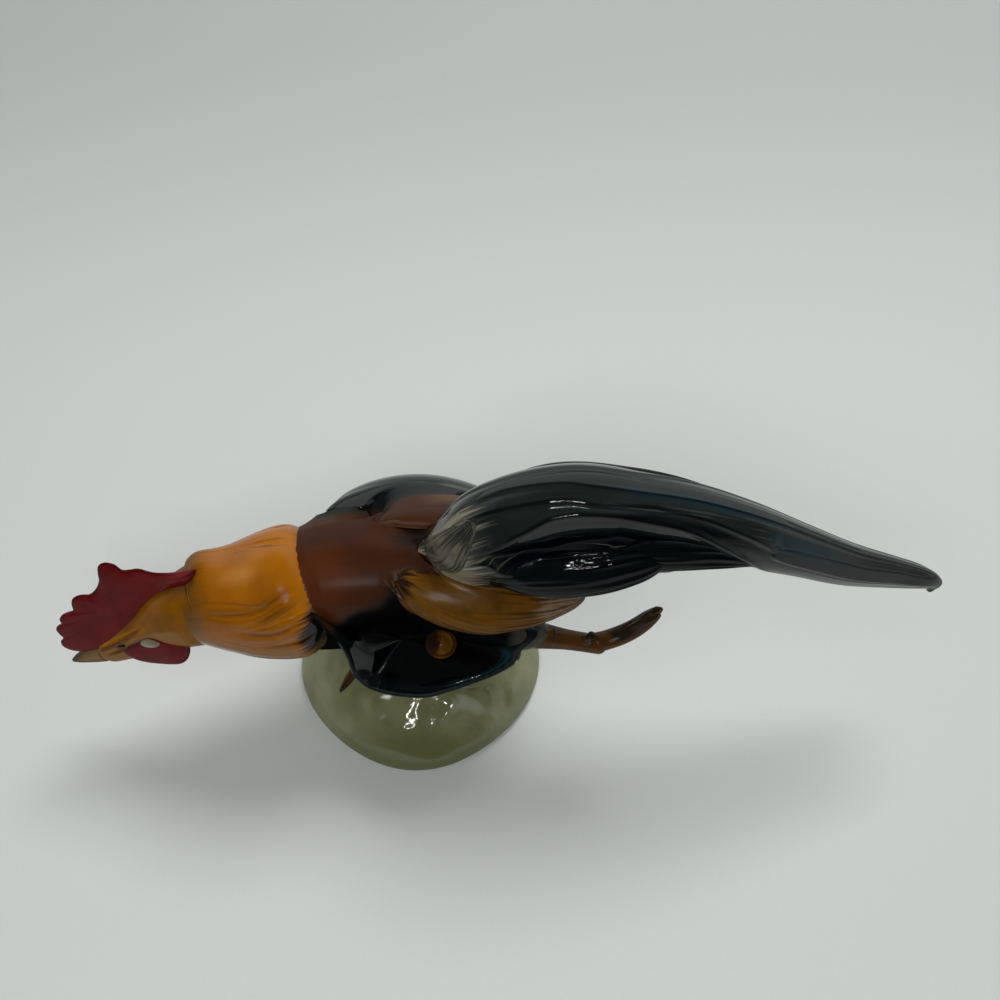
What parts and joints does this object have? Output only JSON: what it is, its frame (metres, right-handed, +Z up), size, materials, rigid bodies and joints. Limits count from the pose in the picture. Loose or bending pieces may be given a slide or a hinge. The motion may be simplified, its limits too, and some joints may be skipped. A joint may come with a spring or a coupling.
{
  "type": "porcelain rooster figurine",
  "caption": "Glazed porcelain rooster in a low running pose, head down, comb upright, tail streaming, standing on one leg on a low rocky mound.",
  "frame": {"origin": "middle of the mound's flat underside", "axes": "+X from the head to the tail, -Y towards the bird's left side, +Z up"},
  "size_m": [0.2514, 0.0718, 0.107],
  "materials": {
    "ivory_glaze": "hand-painted under a clear gloss glaze",
    "crimson_glaze": "hand-painted under a clear gloss glaze",
    "tan_glaze": "hand-painted under a clear gloss glaze",
    "amber_glaze": "hand-painted under a clear gloss glaze",
    "ochre_glaze": "hand-painted under a clear gloss glaze",
    "chestnut_glaze": "hand-painted under a clear gloss glaze",
    "raven_glaze": "hand-painted under a clear gloss glaze",
    "straw_glaze": "hand-painted under a clear gloss glaze",
    "slate_glaze": "hand-painted under a clear gloss glaze",
    "celadon_glaze": "hand-painted under a clear gloss glaze"
  },
  "bodies": {
    "root": {"left_earlobe": "ivory_glaze", "right_earlobe": "ivory_glaze", "left_wattle": "crimson_glaze", "right_wattle": "crimson_glaze", "comb": "crimson_glaze", "beak": "tan_glaze", "left_shank": "tan_glaze", "right_shank": "tan_glaze", "left_foot": "tan_glaze", "right_foot": "tan_glaze", "left_spur": "tan_glaze", "head": "amber_glaze", "neck_hackle": "amber_glaze", "left_saddle_hackle": "ochre_glaze", "left_wing_boss": "ochre_glaze", "right_saddle_hackle": "chestnut_glaze", "body": "chestnut_glaze", "right_thigh": "chestnut_glaze", "left_tail_covert": "raven_glaze", "right_tail_covert": "raven_glaze", "left_lesser_sickle": "raven_glaze", "right_lesser_sickle": "raven_glaze", "right_upper_sickle": "raven_glaze", "tail_plume": "raven_glaze", "left_wing": "raven_glaze", "right_wing": "raven_glaze", "tail_tuft": "straw_glaze", "left_thigh": "slate_glaze", "base_mound": "celadon_glaze"}
  },
  "joints": []
}
